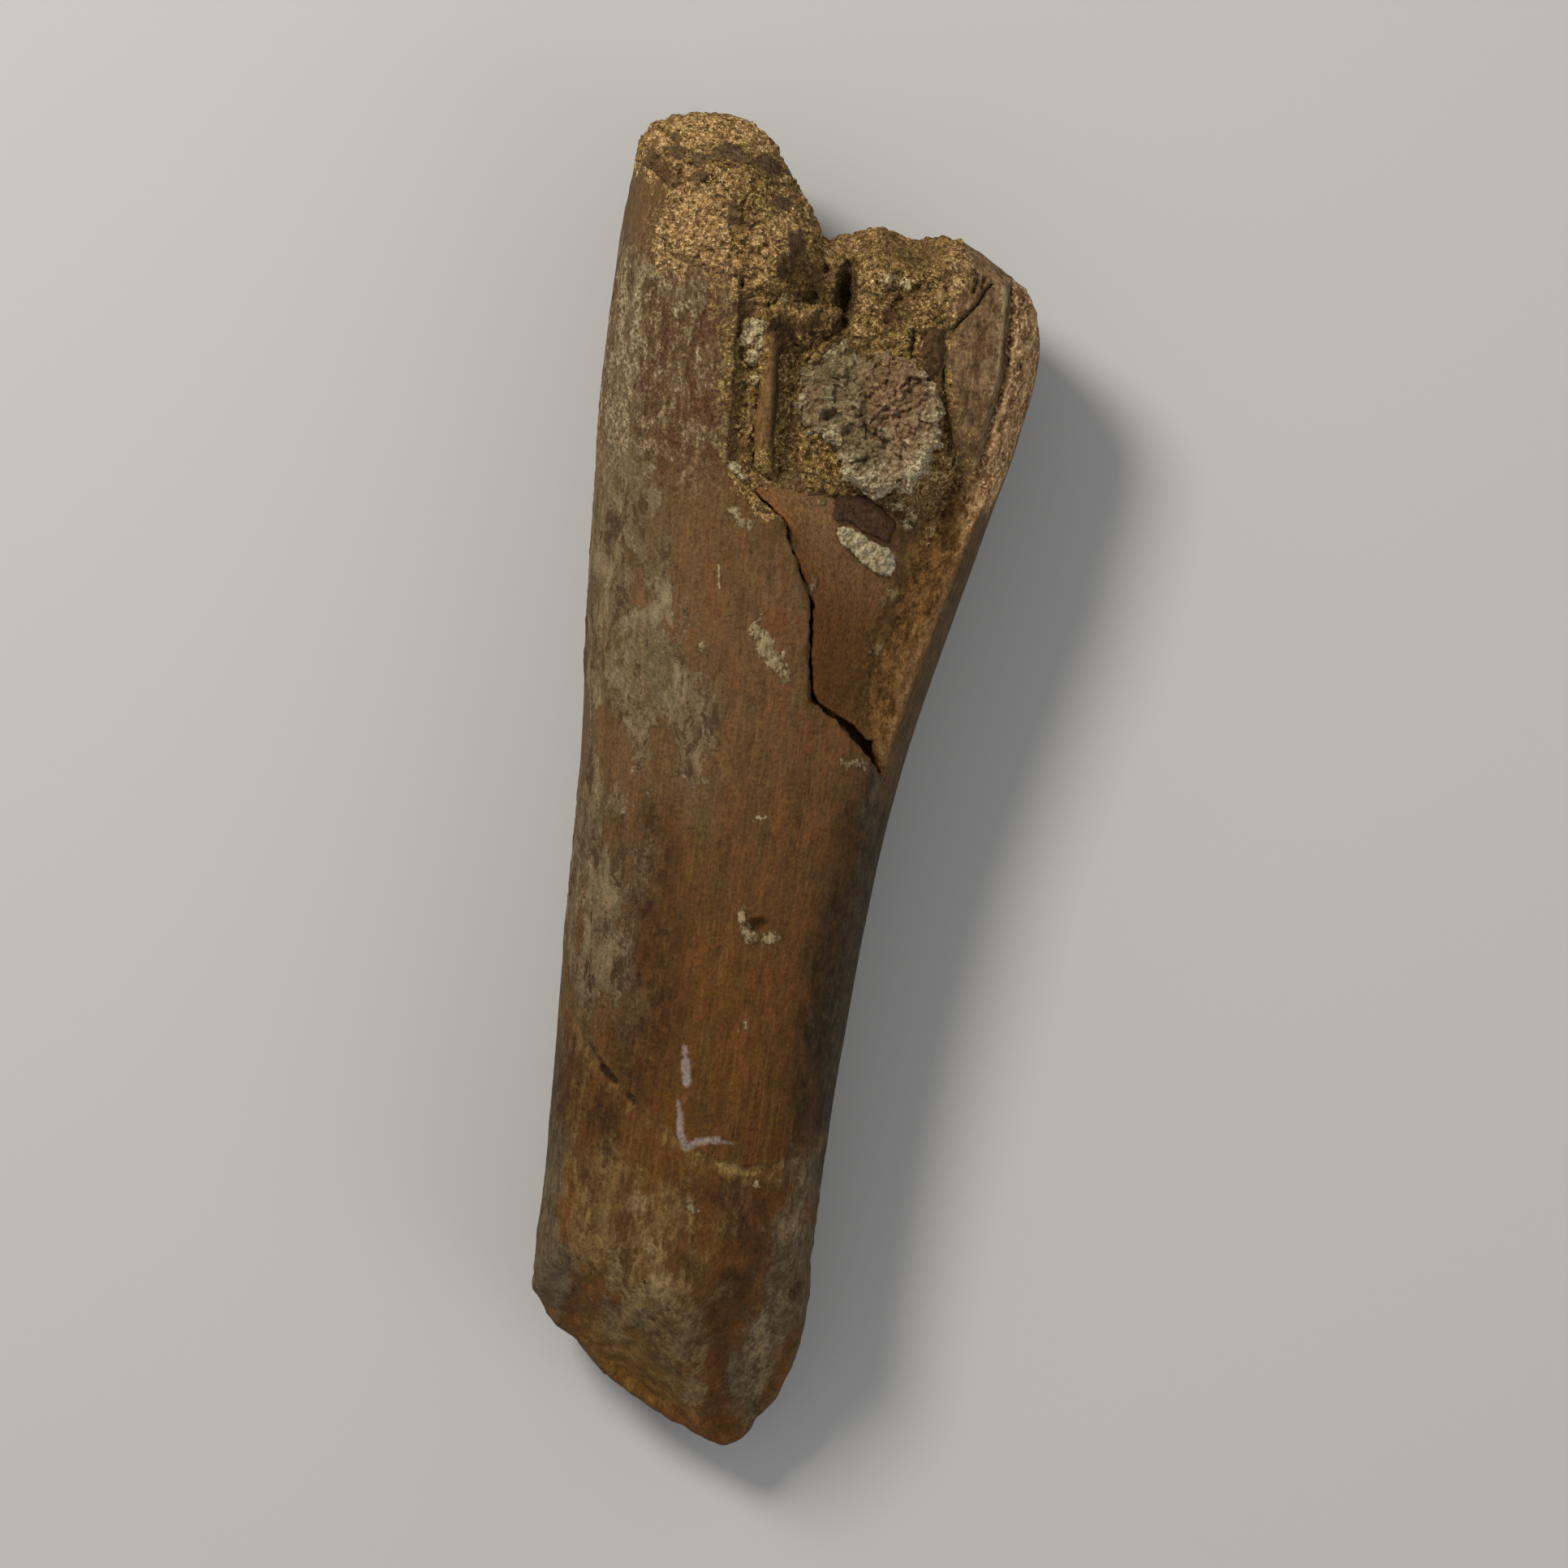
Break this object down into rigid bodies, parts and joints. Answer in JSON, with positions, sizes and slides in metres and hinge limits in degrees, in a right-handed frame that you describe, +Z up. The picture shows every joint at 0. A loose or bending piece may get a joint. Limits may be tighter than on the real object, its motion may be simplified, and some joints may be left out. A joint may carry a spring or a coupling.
{
  "type": "fossil limb bone",
  "caption": "Broken fossil dinosaur limb bone lying on its back, with a flared sand-filled end and a pointed worn end.",
  "frame": {"origin": "middle of the bounding box, on the surface that the bone lies on", "axes": "+Y along the shaft from the pointed broken end to the flared sand-filled end, +Z up out of the front with the open window, +X towards the side wall beside the window"},
  "size_m": [0.0826, 0.2536, 0.057],
  "materials": {
    "petrified_bone": "satin",
    "hardened_sand": "matte",
    "red_plate": "satin",
    "chalky_stone": "matte",
    "dark_bone": "satin"
  },
  "bodies": {
    "root": {"bone": "petrified_bone", "sediment_fill": "hardened_sand", "sunken_plate": "red_plate", "bone_splinter": "petrified_bone", "chalk_lump": "chalky_stone", "dark_chip": "dark_bone", "pale_chip": "chalky_stone"}
  },
  "joints": []
}
